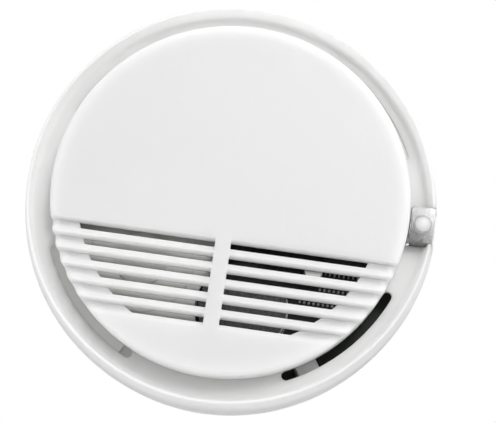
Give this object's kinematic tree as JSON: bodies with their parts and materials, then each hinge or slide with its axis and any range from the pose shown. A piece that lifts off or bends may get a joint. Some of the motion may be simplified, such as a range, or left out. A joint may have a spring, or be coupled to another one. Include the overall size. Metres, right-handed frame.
{
  "type": "smoke detector",
  "caption": "Round white battery smoke alarm with a slotted half-moon grille, curved side vents, a clear test button over a status lamp, a battery door and a twist-on mounting bracket.",
  "frame": {"origin": "centre of the bracket's mounting face, which lies on the ceiling or wall", "axes": "+Z out of the alarm's front, +X towards the test button, +Y towards the plain half of the grille disc and the battery"},
  "size_m": [0.1118, 0.1118, 0.034],
  "materials": {
    "bracket_plastic": "fine moulded satin",
    "housing_plastic": "fine moulded satin",
    "cover_plastic": "smooth satin white",
    "door_plastic": "fine moulded satin",
    "zinc_steel": "zinc plated",
    "battery_jacket": "gloss printed jacket, bare",
    "nickel": "nickel plated",
    "spring_metal": "tinned spring metal",
    "black_plastic": "moulded black",
    "lead_red": "wire insulation",
    "lead_black": "wire insulation",
    "board_mask": "dark solder mask",
    "chip_resin": "moulded resin",
    "can_aluminium": "drawn can",
    "resistor_body": "lacquered",
    "ferrite": "ferrite and copper winding",
    "chamber_black": "matt black",
    "screen_steel": "blackened mesh",
    "emitter_resin": "blue tinted resin",
    "receiver_resin": "dark filter resin",
    "sounder_brass": "rolled sheet",
    "ceramic": "silvered ceramic",
    "button_clear": "clear moulded plastic",
    "lamp_resin": "diffused resin",
    "spacer_plastic": "moulded white"
  },
  "bodies": {
    "bracket": {"mounting_bracket": "bracket_plastic"},
    "alarm": {"rear_housing": "housing_plastic", "front_cover": "cover_plastic", "case_screws": "zinc_steel", "board_screws": "zinc_steel", "battery": "battery_jacket", "battery_terminals": "nickel", "battery_contacts": "nickel", "test_contact": "spring_metal", "contact_stud": "nickel", "contact_carrier": "black_plastic", "battery_leads": "lead_red", "horn_leads": "lead_black", "circuit_board": "board_mask", "control_chip": "chip_resin", "capacitors": "can_aluminium", "resistors": "resistor_body", "horn_coil": "ferrite", "chamber_base": "chamber_black", "chamber_cover": "chamber_black", "insect_screen": "screen_steel", "infrared_emitter": "emitter_resin", "light_receiver": "receiver_resin", "horn_base": "housing_plastic", "horn_housing": "housing_plastic", "piezo_plate": "sounder_brass", "piezo_ceramic": "ceramic", "status_lamp": "lamp_resin", "lamp_spacer": "spacer_plastic"},
    "button": {"test_button": "button_clear"},
    "door": {"battery_door": "door_plastic"}
  },
  "joints": [
    {"name": "twist_lock", "type": "hinge", "parent": "bracket", "child": "alarm", "pos_m": [0, 0, 0], "axis": [0, 0, 1], "range_deg": [0, 12]},
    {"name": "test_press", "type": "slide", "parent": "alarm", "child": "button", "axis": [0, 0, -1], "range_m": [0, 0.001], "stiffness_N_per_m": 800, "springref_m": -0.0005, "deforming": ["test_contact"]},
    {"name": "door_swing", "type": "hinge", "parent": "alarm", "child": "door", "pos_m": [0, 0.03002, 0.006], "axis": [1, 0, 0], "range_deg": [0, 90]}
  ]
}
